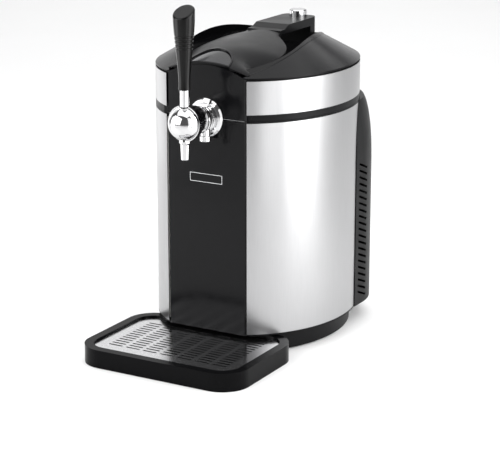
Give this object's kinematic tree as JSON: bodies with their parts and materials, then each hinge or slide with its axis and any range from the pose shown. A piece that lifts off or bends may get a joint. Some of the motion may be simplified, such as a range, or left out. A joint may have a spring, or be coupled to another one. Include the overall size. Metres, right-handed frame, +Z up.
{
  "type": "mini keg beer dispenser",
  "caption": "Countertop beer dispenser for a small keg: oval steel body, hinged black lid with a bridge handle, ball tap with upright lever, drip tray in front.",
  "frame": {"origin": "on the table under the centre of the oval body", "axes": "+X right seen from the tap, +Y to the back, +Z up"},
  "size_m": [0.26, 0.4368, 0.4611],
  "materials": {
    "black_gloss": "gloss",
    "black_satin": "satin",
    "steel": "brushed",
    "polished_steel": "polished",
    "chrome": "mirror",
    "aluminium": "satin",
    "rubber": "matte",
    "foam": "expanded foam",
    "ceramic": "ceramic",
    "board": "satin",
    "clear_hose": "milky",
    "smoked_lens": "gloss",
    "spring_steel": "satin"
  },
  "bodies": {
    "cabinet": {"base_plinth": "black_satin", "rubber_feet": "rubber", "bottom_rim": "black_satin", "steel_shell": "steel", "front_panel": "black_gloss", "body_collar": "black_satin", "foam_insulation": "foam", "keg_chamber": "aluminium", "cold_block": "aluminium", "thermoelectric_module": "ceramic", "heat_sink": "aluminium", "fan_frame": "black_satin", "control_board": "board", "board_standoffs": "black_satin", "rear_cover": "black_satin", "power_inlet": "black_satin", "hinge_bracket": "black_satin", "hinge_pin": "spring_steel", "tap_flange": "chrome", "tap_shank": "chrome", "shank_nut": "chrome", "hose_elbow": "black_satin", "tap_collar": "chrome", "tap_housing": "chrome", "tap_ring": "chrome", "tap_pivot_pin": "chrome", "tap_spout": "chrome", "beer_hose": "clear_hose", "keg_coupler": "black_satin", "coupler_clip": "black_satin"},
    "fan": {"fan_rotor": "black_satin"},
    "lid": {"lid_frame": "black_satin", "lid_seal": "rubber", "lid_band": "steel", "lid_front_panel": "black_gloss", "lid_dome": "black_gloss", "lid_well": "black_gloss", "lid_spine": "black_satin", "display_window": "smoked_lens", "window_bezel": "black_gloss", "lid_handle": "black_satin", "lid_ceiling": "black_satin", "lid_insulation": "foam", "lid_hinge_arm": "black_satin", "button_spring": "spring_steel"},
    "button": {"release_button": "chrome"},
    "latch": {"latch_bar": "black_satin"},
    "tap_lever": {"tap_ball": "chrome", "tap_stem": "chrome", "tap_handle": "black_satin"},
    "plunger": {"valve_plunger": "polished_steel"},
    "adjuster": {"flow_adjuster": "chrome"},
    "tray": {"drip_tray": "black_satin"},
    "grid": {"drip_grid": "polished_steel"}
  },
  "joints": [
    {"name": "lid_hinge", "type": "hinge", "parent": "cabinet", "child": "lid", "pos_m": [0, 0.159, 0.316], "axis": [-1, 0, 0], "range_deg": [0, 75]},
    {"name": "button_press", "type": "slide", "parent": "lid", "child": "button", "axis": [0, 0, -1], "range_m": [0, 0.004], "stiffness_N_per_m": 300, "deforming": ["button_spring"]},
    {"name": "latch_slide", "type": "slide", "parent": "lid", "child": "latch", "axis": [0, 1, 0], "range_m": [0, 0.004]},
    {"name": "tap_pull", "type": "hinge", "parent": "cabinet", "child": "tap_lever", "pos_m": [0, -0.1875, 0.3135], "axis": [1, 0, 0], "range_deg": [0, 50]},
    {"name": "valve_slide", "type": "slide", "parent": "cabinet", "child": "plunger", "axis": [0, -1, 0], "range_m": [0, 0.003]},
    {"name": "adjuster_turn", "type": "hinge", "parent": "cabinet", "child": "adjuster", "pos_m": [0.007, -0.1496, 0.29], "axis": [0, 0, 1], "range_deg": [0, 90]},
    {"name": "tray_slide", "type": "slide", "parent": "cabinet", "child": "tray", "axis": [0, -1, 0], "range_m": [0, 0.11]},
    {"name": "grid_lift", "type": "slide", "parent": "tray", "child": "grid", "axis": [0, 0, 1], "range_m": [0, 0.0044]},
    {"name": "fan_spin", "type": "hinge", "parent": "cabinet", "child": "fan", "pos_m": [0, 0.128, 0.17], "axis": [0, 1, 0], "continuous": true}
  ],
  "couplings": [
    {"joint": "latch_slide", "follows": "button_press", "ratio": 1},
    {"joint": "valve_slide", "follows": "tap_pull", "m_per_rad": 0.0034}
  ]
}
